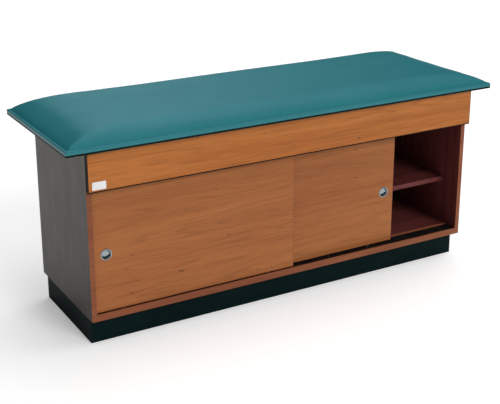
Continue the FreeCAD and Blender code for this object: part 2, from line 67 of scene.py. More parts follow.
def noise(tree, vector, scale, detail=4.0, roughness=0.55, distortion=0.0):
    """A noise texture's value."""
    texture = tree.nodes.new("ShaderNodeTexNoise")
    texture.inputs["Scale"].default_value = scale
    texture.inputs["Detail"].default_value = detail
    texture.inputs["Roughness"].default_value = roughness
    texture.inputs["Distortion"].default_value = distortion
    tree.links.new(vector, texture.inputs["Vector"])
    return texture.outputs["Fac"]


def ramp(tree, value, stops):
    """A colour ramp with (position, colour) stops; a number stands for a grey."""
    node = tree.nodes.new("ShaderNodeValToRGB")
    elements = node.color_ramp.elements
    while len(elements) < len(stops):
        elements.new(0.5)
    for element, (position, colour) in zip(elements, stops):
        element.position = position
        if isinstance(colour, (int, float)):
            colour = (colour, colour, colour)
        element.color = (*colour, 1.0)
    tree.links.new(value, node.inputs["Fac"])
    return node.outputs["Color"]


def blended(tree, mode, amount, first, second):
    """Two colours mixed by a blend mode; the amount is a number or a socket."""
    node = tree.nodes.new("ShaderNodeMix")
    node.data_type = "RGBA"
    node.blend_type = mode
    factor = node.inputs["Factor"]
    if isinstance(amount, (int, float)):
        factor.default_value = amount
    else:
        tree.links.new(amount, factor)
    tree.links.new(first, node.inputs["A"])
    tree.links.new(second, node.inputs["B"])
    return node.outputs["Result"]


def bumped(tree, shader, height, strength, distance):
    """A bump on the shader from a height value."""
    bump = tree.nodes.new("ShaderNodeBump")
    bump.inputs["Strength"].default_value = strength
    bump.inputs["Distance"].default_value = distance
    tree.links.new(height, bump.inputs["Height"])
    tree.links.new(bump.outputs["Normal"], shader.inputs["Normal"])


def finish_nodes(material, *names):
    """Give CAD nodes a finished material."""
    for name in names:
        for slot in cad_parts[name].material_slots:
            slot.material = material


def black_laminate():
    """Satin black laminate with dust and scuffs near the floor."""
    material, tree, shader, place = new_material("black_laminate")
    cloud = noise(tree, stretched(tree, place, (3, 3, 6)), 2.0)
    tint = ramp(tree, cloud, [(0.3, (0.0015, 0.0080, 0.0085)), (0.75, (0.0030, 0.0120, 0.0125))])
    tree.links.new(tint, shader.inputs["Base Color"])
    shader.inputs["Specular IOR Level"].default_value = 0.05
    scuff = noise(tree, stretched(tree, place, (9, 9, 60)), 3.0, detail=6.0)
    tree.links.new(ramp(tree, scuff, [(0.35, 0.46), (0.8, 0.60)]), shader.inputs["Roughness"])
    grain = noise(tree, place, 900.0, detail=2.0)
    bumped(tree, shader, grain, strength=0.06, distance=0.0004)
    return material


def raw_wood():
    """Plain pine for blocks, rails and dowels that never show."""
    material, tree, shader, place = new_material("raw_wood")
    streak = noise(tree, stretched(tree, place, (2, 40, 40)), 2.5, detail=5.0, distortion=0.4)
    tint = ramp(tree, streak, [(0.3, (0.42, 0.28, 0.15)), (0.7, (0.62, 0.45, 0.27))])
    tree.links.new(tint, shader.inputs["Base Color"])
    shader.inputs["Roughness"].default_value = 0.7
    bumped(tree, shader, streak, strength=0.15, distance=0.0005)
    return material


plinth_boards = [
    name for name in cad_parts
    if name.startswith("plinth") and "block" not in name
]
finish_nodes(black_laminate(), *plinth_boards)
pine = raw_wood()
finish_nodes(pine, "plinth_corner_blocks", "carcass_dowels")
finish_nodes(pine, "front_top_rail", "rear_top_rail", "track_header")

# The carcass: laminated boards, doweled together. The outside of the side panels and the back is a
# satin dark brown with upright grain. The boards inside, the shelves and the lining of the side
# panels are a dark red mahogany. The inside of the back panel is painted nearly black as painted
# shade for the dark depth of the bays.

UPRIGHT = "upright"
LENGTHWISE = "lengthwise"
RING_LINES = 26.0


def sums(tree, operation, first, second):
    """A Math node on a value and a number or another value."""
    node = tree.nodes.new("ShaderNodeMath")
    node.operation = operation
    tree.links.new(first, node.inputs[0])
    if isinstance(second, (int, float)):
        node.inputs[1].default_value = second
    else:
        tree.links.new(second, node.inputs[1])
    return node.outputs[0]


def laminate(
    name, direction, tones, figure_depth, fleck_depth, gloss, shine, pore_depth=0.42, lining_and_shade=None
):
    """Printed flat-sawn wood: streaks, arched growth rings, pores and small knots."""
    material, tree, shader, place = new_material(name)

    def along(length, across):
        if direction == UPRIGHT:
            return stretched(tree, place, (across, across, length))
        return stretched(tree, place, (length, across, across))

    def darkened(colour, shade, depth=1.0):
        return blended(tree, "MULTIPLY", depth, colour, shade)

    streaks = noise(tree, along(0.45, 9.0), 2.2, detail=5.0, distortion=0.5)
    stops = (0.28, 0.5, 0.74)
    colour = ramp(tree, streaks, list(zip(stops, tones)))
    # The inside face takes other tones: a real mahogany lining on the side panels, and painted
    # shade on the back panel.
    if lining_and_shade:
        axis, limit, lining_and_shade_tones = lining_and_shade
        apart = tree.nodes.new("ShaderNodeSeparateXYZ")
        tree.links.new(place, apart.inputs["Vector"])
        inside = sums(tree, "LESS_THAN", sums(tree, "ABSOLUTE", apart.outputs[axis], 0.0), limit)
        sheet = ramp(tree, streaks, list(zip(stops, lining_and_shade_tones)))
        colour = blended(tree, "MIX", inside, colour, sheet)
    drift = noise(tree, along(0.6, 1.4), 1.6, detail=2.0)
    drift_stops = [(0.32, (0.92, 0.86, 0.87)), (0.68, (1.0, 1.0, 1.0))]
    colour = darkened(colour, ramp(tree, drift, drift_stops))
    rings = noise(tree, along(0.17, 5.0), 2.0, detail=2.0, roughness=0.45)
    ring_phase = sums(tree, "FRACT", sums(tree, "MULTIPLY", rings, RING_LINES), 0.0)
    ring_stops = [(0.0, figure_depth), (0.12, 1.0), (0.72, 1.0), (1.0, figure_depth)]
    colour = darkened(colour, ramp(tree, ring_phase, ring_stops))
    pores = noise(tree, along(4.0, 150.0), 2.0, detail=4.0)
    colour = darkened(colour, ramp(tree, pores, [(0.38, 0.62), (0.56, 1.0)]), pore_depth)
    flecks = noise(tree, along(15.0, 62.0), 2.0, detail=1.0, distortion=0.4)
    colour = darkened(colour, ramp(tree, flecks, [(0.745, 1.0), (0.80, fleck_depth)]))
    tree.links.new(colour, shader.inputs["Base Color"])
    wear = noise(tree, along(3.0, 9.0), 2.0, detail=5.0)
    dull = ramp(tree, wear, [(0.3, gloss[0]), (0.75, gloss[1])])
    tree.links.new(dull, shader.inputs["Roughness"])
    shader.inputs["Specular IOR Level"].default_value = shine
    bumped(tree, shader, pores, strength=0.08, distance=0.0003)
    return material


OUTER_TONES = [(0.027, 0.017, 0.010), (0.035, 0.022, 0.013), (0.043, 0.028, 0.017)]
# Near-black tones for the inside of the back panel: painted shade for the dark depth of the bays,
# not the board's colour.
BACK_SHADE_TONES = [(0.010, 0.008, 0.008), (0.014, 0.011, 0.011), (0.019, 0.014, 0.014)]
INNER_TONES = [(0.105, 0.026, 0.024), (0.150, 0.038, 0.035), (0.200, 0.055, 0.048)]
LINING_SHEET = 0.0008
side_lining = -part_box("left_side_panel")[1].x + LINING_SHEET
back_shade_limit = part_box("back_panel")[0].y + LINING_SHEET
dark_brown = {
    "direction": UPRIGHT,
    "tones": OUTER_TONES,
    "figure_depth": 0.92,
    "fleck_depth": 0.85,
    "gloss": (0.26, 0.36),
    "shine": 0.21,
    "pore_depth": 0.4,
}
side_brown = laminate("side_laminate", **dark_brown, lining_and_shade=("X", side_lining, INNER_TONES))
# The back panel's inside takes the near-black tones: painted shade.
back_brown_shaded_inside = laminate("back_laminate_shaded_inside", **dark_brown, lining_and_shade=("Y", back_shade_limit, BACK_SHADE_TONES))
mahogany = laminate(
    "inner_laminate",
    LENGTHWISE,
    INNER_TONES,
    figure_depth=0.9,
    fleck_depth=0.75,
    gloss=(0.26, 0.38),
    shine=0.22,
)
finish_nodes(side_brown, "left_side_panel", "right_side_panel")
finish_nodes(back_brown_shaded_inside, "back_panel")
finish_nodes(mahogany, "bottom_panel", "floor_panel", "centre_partition")
finish_nodes(mahogany, "left_shelf", "right_shelf")
finish_nodes(mahogany, "left_shelf_edge_band", "right_shelf_edge_band")

# Edge bands: thin cherry strips glued on the front edges of the boards. The fascia has a black
# moulding along its lower edge and black bands on its ends.

CHERRY_TONES = [(0.212, 0.064, 0.028), (0.258, 0.084, 0.037), (0.300, 0.103, 0.046)]
cherry_satin = {"gloss": (0.34, 0.46), "shine": 0.2}
cherry_edge = laminate(
    "cherry_edge", LENGTHWISE, CHERRY_TONES, figure_depth=0.94, fleck_depth=0.8, **cherry_satin
)
edge_bands = [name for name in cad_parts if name.endswith("_band")]
cherry_bands = [
    name for name in edge_bands
    if "fascia" not in name and "shelf" not in name
]
finish_nodes(cherry_edge, *cherry_bands, "sill_strip")


def black_plastic(name, gloss, shine):
    """Moulded black plastic with a fine grain."""
    material, tree, shader, place = new_material(name)
    cloud = noise(tree, place, 14.0)
    tint = ramp(tree, cloud, [(0.3, 0.005), (0.7, 0.010)])
    tree.links.new(tint, shader.inputs["Base Color"])
    shader.inputs["Specular IOR Level"].default_value = shine
    dull = ramp(tree, cloud, [(0.3, gloss[0]), (0.7, gloss[1])])
    tree.links.new(dull, shader.inputs["Roughness"])
    grain = noise(tree, place, 1600.0, detail=2.0)
    bumped(tree, shader, grain, strength=0.08, distance=0.0002)
    return material


fascia_bands = [name for name in edge_bands if "fascia" in name]
black_edge = black_plastic("black_edge", gloss=(0.42, 0.54), shine=0.03)
finish_nodes(black_edge, *fascia_bands)

# The tracks: black plastic extrusions, screwed to the bottom board and fixed under the header
# above. Each door rides on two nylon wheels, on zinc-plated axles in moulded housings let into its
# lower edge, and two nylon guides in its top edge run in the upper channel.

track_black = black_plastic("track_plastic", gloss=(0.28, 0.40), shine=0.15)
finish_nodes(track_black, "lower_track", "upper_track")
finish_nodes(track_black, "left_door_roller_housings", "right_door_roller_housings")


def nylon():
    """Off-white nylon for wheels and guides."""
    material, tree, shader, place = new_material("nylon")
    cloud = noise(tree, place, 60.0)
    tint = ramp(tree, cloud, [(0.3, (0.60, 0.58, 0.52)), (0.7, (0.70, 0.68, 0.62))])
    tree.links.new(tint, shader.inputs["Base Color"])
    shader.inputs["Roughness"].default_value = 0.42
    grain = noise(tree, place, 2500.0, detail=1.0)
    bumped(tree, shader, grain, strength=0.05, distance=0.0001)
    return material


nylon_nodes = [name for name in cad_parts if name.endswith(("_wheel", "_guides"))]
finish_nodes(nylon(), *nylon_nodes)


def zinc_steel():
    """Bright zinc-plated steel for axles, pins, brackets and screws."""
    material, tree, shader, place = new_material("zinc_steel")
    cloud = noise(tree, place, 90.0, detail=5.0)
    tint = ramp(tree, cloud, [(0.3, (0.52, 0.53, 0.54)), (0.7, (0.66, 0.67, 0.68))])
    tree.links.new(tint, shader.inputs["Base Color"])
    shader.inputs["Metallic"].default_value = 1.0
    tree.links.new(ramp(tree, cloud, [(0.3, 0.28), (0.7, 0.42)]), shader.inputs["Roughness"])
    return material


steel = zinc_steel()
finish_nodes(steel, "deck_brackets", "shelf_pins", "left_door_axles", "right_door_axles")

# The doors: two boards faced with cherry laminate, with fine grain along the cabinet. The left one
# runs in the outer track and the right one behind it in the inner track, so that they pass.

DOOR_TONES = [(0.338, 0.118, 0.037), (0.396, 0.144, 0.045), (0.449, 0.169, 0.053)]
cherry_figure = {"figure_depth": 0.82, "fleck_depth": 0.52, **cherry_satin}
door_cherry = laminate("door_cherry", LENGTHWISE, DOOR_TONES, **cherry_figure)
finish_nodes(door_cherry, "left_door", "right_door")

# The finger pulls: pressed chrome cups let into the doors near their outer edges. The pressing
# here is a thin dish with a rolled rim and a round floor, which lines the cup from its face.

# Each ring of the dish is a radius and a height over the door's face.
PULL_RIM = [
    (0.0216, 0.0002),
    (0.0215, 0.0011),
    (0.0208, 0.0017),
    (0.0192, 0.0018),
    (0.0178, 0.0014),
]
PULL_WALL = 0.0169
PULL_DEPTH = 0.0092
PULL_FILLET = 0.0085
FILLET_STEPS = 10
PULL_FLOOR = [(0.0060, -PULL_DEPTH), (0.0030, -PULL_DEPTH)]
PULL_SHEET = 0.0006
PULL_SIDES = 64
pull_fillet = []
for step in range(FILLET_STEPS + 1):
    turn = math.radians(90 * step / FILLET_STEPS)
    radius = PULL_WALL - PULL_FILLET * (1 - math.cos(turn))
    pull_fillet.append((radius, PULL_FILLET * (1 - math.sin(turn)) - PULL_DEPTH))
pull_rings = PULL_RIM + [(PULL_WALL, 0.0)] + pull_fillet + PULL_FLOOR


def chrome():
    """Polished chrome with faint wiping marks."""
    material, tree, shader, place = new_material("chrome_cup")
    wipe = noise(tree, stretched(tree, place, (30, 30, 220)), 3.0, detail=3.0)
    shader.inputs["Metallic"].default_value = 1.0
    tint = ramp(tree, wipe, [(0.3, (0.36, 0.42, 0.44)), (0.7, (0.44, 0.50, 0.52))])
    tree.links.new(tint, shader.inputs["Base Color"])
    tree.links.new(ramp(tree, wipe, [(0.3, 0.05), (0.7, 0.12)]), shader.inputs["Roughness"])
    return material


polished = chrome()


def start_piece(name):
    """Name the object that was just added and open it in edit mode."""
    piece = bpy.context.object
    piece.name = name
    piece.data.name = name
    bpy.ops.object.mode_set(mode="EDIT")
    return piece


def close_piece(piece, material, body):
    """Leave edit mode, bring the place into the mesh, and give the piece its finish and body."""
    bpy.ops.object.mode_set(mode="OBJECT")
    bpy.ops.object.select_all(action="DESELECT")
    piece.select_set(True)
    bpy.context.view_layer.objects.active = piece
    bpy.ops.object.transform_apply(location=True, rotation=True, scale=True)
    piece.data.materials.clear()
    piece.data.materials.append(material)
    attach(piece, body)


def apply_modifier(piece, kind, **settings):
    """Add a modifier with its settings and apply it."""
    modifier = piece.modifiers.new(kind.title(), kind)
    for key, value in settings.items():
        setattr(modifier, key, value)
    bpy.context.view_layer.objects.active = piece
    bpy.ops.object.modifier_apply(modifier=modifier.name)


def middle(node):
    """The middle of a CAD node's box."""
    low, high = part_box(node)
    return (low + high) / 2


bpy.ops.object.select_all(action="DESELECT")
bpy.ops.mesh.primitive_circle_add(vertices=PULL_SIDES, radius=pull_rings[0][0])
dish = start_piece("pull_dish")
bpy.ops.mesh.select_all(action="SELECT")
bpy.ops.transform.translate(value=(0, 0, pull_rings[0][1]))
for (radius, height), (next_radius, next_height) in zip(pull_rings, pull_rings[1:]):
    bpy.ops.mesh.extrude_edges_move()
    shape = bmesh.from_edit_mesh(dish.data)
    ratio = next_radius / radius
    for vertex in shape.verts:
        if vertex.select:
            vertex.co = Vector((vertex.co.x * ratio, vertex.co.y * ratio, next_height))
    bmesh.update_edit_mesh(dish.data)
bpy.ops.mesh.extrude_edges_move()
bpy.ops.mesh.merge(type="CENTER")
bpy.ops.mesh.select_all(action="SELECT")
bpy.ops.mesh.normals_make_consistent(inside=False)
bpy.ops.object.mode_set(mode="OBJECT")
apply_modifier(dish, "SOLIDIFY", thickness=PULL_SHEET, offset=-1.0)
bpy.ops.object.shade_smooth_by_angle(angle=math.radians(50))
for side in ("left", "right"):
    centre = middle(f"{side}_door_pull")
    copy = dish.copy()
    copy.data = dish.data.copy()
    copy.name = f"{side}_pull_dish"
    copy.data.name = f"{side}_pull_dish"
    copy.location = (centre.x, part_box(f"{side}_door")[0].y, centre.z)
    copy.rotation_euler = (math.radians(90), 0, 0)
    bpy.context.scene.collection.objects.link(copy)
    close_piece(copy, polished, f"{side}_door")
bpy.data.objects.remove(dish)
finish_nodes(polished, "left_door_pull", "right_door_pull")

# The fascia: a board faced with cherry laminate that stands proud over the door tops. A small bare
# plate of white plastic is glued near its lower left corner.

FASCIA_TONES = [(0.424, 0.138, 0.030), (0.492, 0.171, 0.039), (0.551, 0.202, 0.049)]
fascia_cherry = laminate("fascia_cherry", LENGTHWISE, FASCIA_TONES, **cherry_figure)
finish_nodes(fascia_cherry, "fascia")
PLATE_SIZE = (0.051, 0.0008, 0.029)
PLATE_CORNER = 0.003
PLATE_EDGE = 0.0002
PLATE_INSET = 0.012
PLATE_LIFT = 0.005


def plate_finish():
    """Satin white plate."""
    material, tree, shader, place = new_material("plate_white")
    cloud = noise(tree, place, 120.0)
    tint = ramp(tree, cloud, [(0.3, (0.74, 0.74, 0.73)), (0.7, (0.82, 0.82, 0.81))])
    tree.links.new(tint, shader.inputs["Base Color"])
    shader.inputs["Roughness"].default_value = 0.35
    return material


fascia_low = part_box("fascia")[0]
bpy.ops.object.select_all(action="DESELECT")
plate_place = (
    fascia_low.x + PLATE_INSET + PLATE_SIZE[0] / 2,
    fascia_low.y - PLATE_SIZE[1] / 2,
    fascia_low.z + PLATE_LIFT + PLATE_SIZE[2] / 2,
)
bpy.ops.mesh.primitive_cube_add(size=1, location=plate_place)
plate = start_piece("bare_plate")
bpy.ops.mesh.select_all(action="SELECT")
bpy.ops.transform.resize(value=PLATE_SIZE)
shape = bmesh.from_edit_mesh(plate.data)
for edge in shape.edges:
    start, end = (vertex.co for vertex in edge.verts)
    edge.select_set(abs(start.y - end.y) > PLATE_SIZE[1] / 2)
bmesh.update_edit_mesh(plate.data)
bpy.ops.mesh.bevel(offset=PLATE_CORNER, segments=5, affect="EDGES")
close_piece(plate, plate_finish(), "cabinet")
apply_modifier(plate, "BEVEL", width=PLATE_EDGE, segments=2, limit_method="ANGLE")
bpy.ops.object.shade_smooth_by_angle(angle=math.radians(40))

# The deck: a birch plywood board that carries the pad. Steel brackets hold it to the cabinet's
# rails. It is seen only from below, inside the hem of the cover.


def plywood():
    """Birch plywood with long pale streaks."""
    material, tree, shader, place = new_material("plywood")
    streak = noise(tree, stretched(tree, place, (1.2, 18, 60)), 3.0, detail=6.0, distortion=1.2)
    tint = ramp(tree, streak, [(0.3, (0.46, 0.33, 0.20)), (0.7, (0.62, 0.48, 0.31))])
    tree.links.new(tint, shader.inputs["Base Color"])
    shader.inputs["Roughness"].default_value = 0.62
    bumped(tree, shader, streak, strength=0.1, distance=0.0005)
    return material


finish_nodes(plywood(), "deck_board")

# The screws: zinc pan heads with a cross recess. They hold the back panel to the boards behind it,
# the deck brackets to the rails and the deck, and the lower track, where they sink in between the
# ribs.

SCREW_SIDES = 16
# Each ring of the head is a radius and a height over the face under it.
SCREW_RINGS = [(0.0036, 0.0), (0.0036, 0.0006), (0.0031, 0.0013), (0.0022, 0.0016)]
RECESS_ARM = 0.0017
RECESS_CORNER = 0.0006
RECESS_DEPTH = 0.0010
RECESS_TAPER = 0.6
FACING_BACK = (math.radians(-90), 0, 0)
FACING_FRONT = (math.radians(90), 0, 0)
FACING_DOWN = (math.radians(180), 0, 0)
FACING_UP = (0, 0, 0)

bpy.ops.object.select_all(action="DESELECT")
bpy.ops.mesh.primitive_circle_add(vertices=SCREW_SIDES, radius=SCREW_RINGS[0][0])
screw = start_piece("screw")
bpy.ops.mesh.select_all(action="SELECT")
for (radius, height), (next_radius, next_height) in zip(SCREW_RINGS, SCREW_RINGS[1:]):
    bpy.ops.mesh.extrude_edges_move()
    bpy.ops.transform.resize(value=(next_radius / radius, next_radius / radius, 1))
    bpy.ops.transform.translate(value=(0, 0, next_height - height))
bpy.ops.mesh.extrude_edges_move()
shape = bmesh.from_edit_mesh(screw.data)
for vertex in shape.verts:
    if vertex.select:
        turn = math.atan2(vertex.co.y, vertex.co.x)
        on_arm = round(turn / math.radians(360 / SCREW_SIDES)) % 4 < 2
        vertex.co.xy *= (RECESS_ARM if on_arm else RECESS_CORNER) / vertex.co.xy.length
bmesh.update_edit_mesh(screw.data)
bpy.ops.mesh.extrude_edges_move()
bpy.ops.transform.resize(value=(RECESS_TAPER, RECESS_TAPER, 1))
bpy.ops.transform.translate(value=(0, 0, -RECESS_DEPTH))
bpy.ops.mesh.edge_face_add()
bpy.ops.mesh.select_all(action="SELECT")
bpy.ops.mesh.normals_make_consistent(inside=False)
bpy.ops.object.mode_set(mode="OBJECT")


def joined_copies(pattern, name, places):
    """Copies of a small steel piece at places and turns, joined into one piece."""
    bpy.ops.object.select_all(action="DESELECT")
    for place, turn in places:
        copy = pattern.copy()
        copy.data = pattern.data.copy()
        copy.location = place
        copy.rotation_euler = turn
        bpy.context.scene.collection.objects.link(copy)
        copy.select_set(True)
        bpy.context.view_layer.objects.active = copy
    bpy.ops.object.join()
    joined = bpy.context.object
    joined.name = name
    joined.data.name = name
    close_piece(joined, steel, "cabinet")
    bpy.ops.object.shade_smooth_by_angle(angle=math.radians(35))


BACK_SCREW_COLUMNS = (-0.7, -0.35, 0, 0.35, 0.7)
BACK_SCREW_LEVELS = (0.25, 0.42, 0.59)
back_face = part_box("back_panel")[1].y
back_screws = [
    (x, back_face, middle(node).z)
    for node in ("bottom_panel", "rear_top_rail")
    for x in BACK_SCREW_COLUMNS
]
back_screws += [(0, back_face, level) for level in BACK_SCREW_LEVELS]
joined_copies(screw, "back_panel_screws", [(place, FACING_BACK) for place in back_screws])

BRACKET_PLACES = (-0.623, -0.2077, 0.2077, 0.623)
BRACKET_SHEET = 0.002
BRACKET_REACH = 0.020
bracket_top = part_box("deck_brackets")[1].z
front_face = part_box("front_top_rail")[1].y + BRACKET_SHEET
rear_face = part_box("rear_top_rail")[0].y - BRACKET_SHEET
bracket_screws = []
for x in BRACKET_PLACES:
    for face, inward, facing in ((front_face, 1, FACING_BACK), (rear_face, -1, FACING_FRONT)):
        on_rail = (x, face, bracket_top - BRACKET_REACH)
        on_deck = (x, face + inward * BRACKET_REACH, bracket_top - BRACKET_SHEET)
        bracket_screws += [(on_rail, facing), (on_deck, FACING_DOWN)]
joined_copies(screw, "deck_bracket_screws", bracket_screws)

TRACK_BASE = 0.002
SCREW_SINK = 0.0006
TRACK_SCREWS = 9
TRACK_SCREW_START = -0.76
TRACK_SCREW_SPACING = 0.19
track_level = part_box("lower_track")[0].z + TRACK_BASE - SCREW_SINK
track_places = [TRACK_SCREW_START + TRACK_SCREW_SPACING * number for number in range(TRACK_SCREWS)]
track_screws = [((x, middle("lower_track").y, track_level), FACING_UP) for x in track_places]
joined_copies(screw, "lower_track_screws", track_screws)
bpy.data.objects.remove(screw)

# The padded top: teal vinyl drawn over a foam slab, round the deck edge and stapled under it.
# The field is flat, the long sides roll down sharply, the ends more slowly, and the hips are soft.
# A seam is drawn in above the rim, and the rim's lower edge is coloured black.

CROWN_RUN_END = 0.232
CROWN_RUN_SIDE = 0.064
CROWN_ROUNDNESS = 0.50
HIP_SHARPNESS = 2.2
LEDGE = 0.0100
FILL_ROOM = 0.0005
SEAM_DIP = 0.0022
RIM_ROLL = 0.0037
CORNER_RADIUS = 0.004
LEAST_RADIUS = 0.0005
LEVEL_TOLERANCE = 0.0001
VINYL_THICKNESS = 0.0012
HEM_WIDTH = 0.018
BLACK_BAND_HEIGHT = 0.009
# The steps are millimetres in from the crown's foot, close where the vinyl curves most.
SIDE_STEPS = [0, 1, 2.5, 5, 8, 12, 17, 23, 30, 38, 47, 57, 68, 80, 93, 108]
END_STEPS = [0, 1.2, 3, 6, 10, 15, 22, 30, 40, 52, 66, 82, 100, 120, 142, 166, 192, 220, 250]
FIELD_CELL = 0.024

cover_low, cover_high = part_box("vinyl_cover")
pad_half = (cover_high.xy - cover_low.xy) / 2
rim_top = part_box("deck_board")[1].z + RIM_ROLL
rim_foot = cover_low.z
crown_height = cover_high.z - rim_top + SEAM_DIP - FILL_ROOM


def spaced(half, steps):
    """Places from one edge to the other: crowded by the edge, even over the field."""
    edge = [half - step / 1000 for step in steps]
    cells = round(edge[-1] / FIELD_CELL)
    inner = [edge[-1] * number / cells for number in range(cells - 1, 0, -1)]
    one_side = edge + inner
    return [-place for place in one_side] + [0.0] + one_side[::-1]


def rounded_corner(point):
    """A point of a square-cornered ring of the rim drawn to its rounded corner."""
    inset = min(size - abs(value) for value, size in zip(point, pad_half))
    radius = max(CORNER_RADIUS - inset, LEAST_RADIUS)
    half = pad_half - Vector((inset, inset))
    over = [max(0.0, abs(value) - (size - radius)) / radius for value, size in zip(point, half)]
    if min(over) <= 0:
        return point
    drawn = (over[0] * math.sqrt(1 - over[1] ** 2 / 2), over[1] * math.sqrt(1 - over[0] ** 2 / 2))
    return Vector([
        math.copysign(size - radius + part * radius, value)
        for value, size, part in zip(point, half, drawn)
    ])


def crown(point):
    """Height of the crown over the ledge at a point of the top."""
    half = pad_half - Vector((LEDGE, LEDGE))
    rises = []
    for value, size, run in zip(point, half, (CROWN_RUN_END, CROWN_RUN_SIDE)):
        share = min(1.0, max(0.0, (size - abs(value)) / run))
        rises.append((1 - (1 - share) ** 2) ** CROWN_ROUNDNESS)
    if min(rises) <= 0:
        return 0.0
    together = sum(rise ** -HIP_SHARPNESS for rise in rises) - 1
    return crown_height * together ** (-1 / HIP_SHARPNESS)


columns = spaced(pad_half.x - LEDGE, END_STEPS)
rows = spaced(pad_half.y - LEDGE, SIDE_STEPS)
bpy.ops.object.select_all(action="DESELECT")
cells = (len(columns) - 1, len(rows) - 1)
bpy.ops.mesh.primitive_grid_add(x_subdivisions=cells[0], y_subdivisions=cells[1], size=2)
pad = start_piece("vinyl_pad")
shape = bmesh.from_edit_mesh(pad.data)
for vertex in shape.verts:
    column = round((vertex.co.x + 1) / 2 * cells[0])
    row = round((vertex.co.y + 1) / 2 * cells[1])
    point = (columns[column], rows[row])
    vertex.co = (*point, rim_top - SEAM_DIP + crown(point))
bpy.ops.mesh.select_all(action="DESELECT")
for edge in shape.edges:
    if edge.is_boundary:
        edge.select_set(True)
bmesh.update_edit_mesh(pad.data)
# The rim's section as insets and levels: out of the seam, over the roll, down the side and under.
rim_rings = [
    (0.0086, rim_top - 0.0018),
    (0.0074, rim_top - 0.0006),
    (0.0056, rim_top),
    (0.0032, rim_top - 0.0002),
    (0.0012, rim_top - 0.0014),
    (0.0003, rim_top - 0.0034),
    (0.0, rim_top - 0.0060),
    (0.0, rim_top - 0.0120),
    (0.0004, rim_foot + 0.0028),
    (0.0016, rim_foot + 0.0008),
    (0.0042, rim_foot),
    (0.0100, rim_foot),
    (HEM_WIDTH, rim_foot),
]
previous_inset = LEDGE
for inset, level in rim_rings:
    bpy.ops.mesh.extrude_edges_move()
    shape = bmesh.from_edit_mesh(pad.data)
    ratio = [(size - inset) / (size - previous_inset) for size in pad_half]
    for vertex in shape.verts:
        if vertex.select:
            vertex.co = (vertex.co.x * ratio[0], vertex.co.y * ratio[1], level)
    bmesh.update_edit_mesh(pad.data)
    previous_inset = inset
for vertex in shape.verts:
    if vertex.co.z < rim_top + LEVEL_TOLERANCE:
        vertex.co.xy = rounded_corner(vertex.co.xy)
bmesh.update_edit_mesh(pad.data)
bpy.ops.mesh.select_all(action="SELECT")
bpy.ops.mesh.normals_make_consistent(inside=False)


def vinyl():
    """Teal upholstery vinyl with a fine leather grain, black along the rim's lower edge."""
    material, tree, shader, place = new_material("teal_vinyl")
    grain = tree.nodes.new("ShaderNodeTexVoronoi")
    grain.inputs["Scale"].default_value = 620.0
    tree.links.new(place, grain.inputs["Vector"])
    cloud = noise(tree, place, 3.0, detail=3.0)
    teal = ramp(tree, cloud, [(0.3, (0.013, 0.165, 0.192)), (0.7, (0.017, 0.180, 0.208))])
    black = ramp(tree, cloud, [(0.3, (0.004, 0.009, 0.009)), (0.7, (0.007, 0.013, 0.013))])
    apart = tree.nodes.new("ShaderNodeSeparateXYZ")
    tree.links.new(place, apart.inputs["Vector"])
    # The rim's lower edge is coloured black up to this height, with little shine.
    black_band = sums(tree, "LESS_THAN", apart.outputs["Z"], rim_foot + BLACK_BAND_HEIGHT)
    tree.links.new(blended(tree, "MIX", black_band, teal, black), shader.inputs["Base Color"])
    rub = noise(tree, place, 9.0, detail=4.0)
    tree.links.new(ramp(tree, rub, [(0.3, 0.36), (0.75, 0.44)]), shader.inputs["Roughness"])
    shine = ramp(tree, black_band, [(0.0, 0.5), (1.0, 0.03)])
    tree.links.new(shine, shader.inputs["Specular IOR Level"])
    bumped(tree, shader, grain.outputs["Distance"], strength=0.12, distance=0.0004)
    return material


close_piece(pad, vinyl(), "cabinet")

CLOTH_FRAMES = 20
CLOTH_CAP = 0.004
HELD_BAND = 0.0008
SMOOTHING_SHARE = 0.5
SMOOTHING_ROUNDS = 12
drawn_places = [vertex.co.copy() for vertex in pad.data.vertices]
held = [vertex.index for vertex in pad.data.vertices if vertex.co.z < rim_top + HELD_BAND]
pad.vertex_groups.new(name="held").add(held, 1.0, "REPLACE")
cloth = pad.modifiers.new("Cloth", "CLOTH")
cloth.settings.quality = 6
cloth.settings.mass = 0.6
cloth.settings.tension_stiffness = 40
cloth.settings.compression_stiffness = 40
cloth.settings.shear_stiffness = 20
cloth.settings.bending_stiffness = 10
cloth.settings.shrink_min = -0.001
cloth.settings.vertex_group_mass = "held"
cloth.settings.use_pressure = True
cloth.settings.uniform_pressure_force = 3
cloth.settings.effector_weights.gravity = 0
cloth.point_cache.frame_end = CLOTH_FRAMES
for number in range(1, CLOTH_FRAMES + 1):
    bpy.context.scene.frame_set(number)
bpy.ops.object.modifier_apply(modifier=cloth.name)
bpy.context.scene.frame_set(1)
for vertex, start in zip(pad.data.vertices, drawn_places):
    move = vertex.co - start
    if move.length > CLOTH_CAP:
        vertex.co = start + move * (CLOTH_CAP / move.length)
apply_modifier(
    pad,
    "SMOOTH",
    factor=SMOOTHING_SHARE,
    iterations=SMOOTHING_ROUNDS,
    vertex_group="held",
    invert_vertex_group=True,
)
pad.vertex_groups.clear()
apply_modifier(pad, "SUBSURF", levels=1, render_levels=1)
apply_modifier(pad, "SOLIDIFY", thickness=VINYL_THICKNESS, offset=-1.0)
bpy.ops.object.shade_smooth()
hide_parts("vinyl_cover", "foam_pad")

# The staples: bent steel wire, driven through the cover's hem into the underside of the deck. They
# run round all four edges at even spacing.

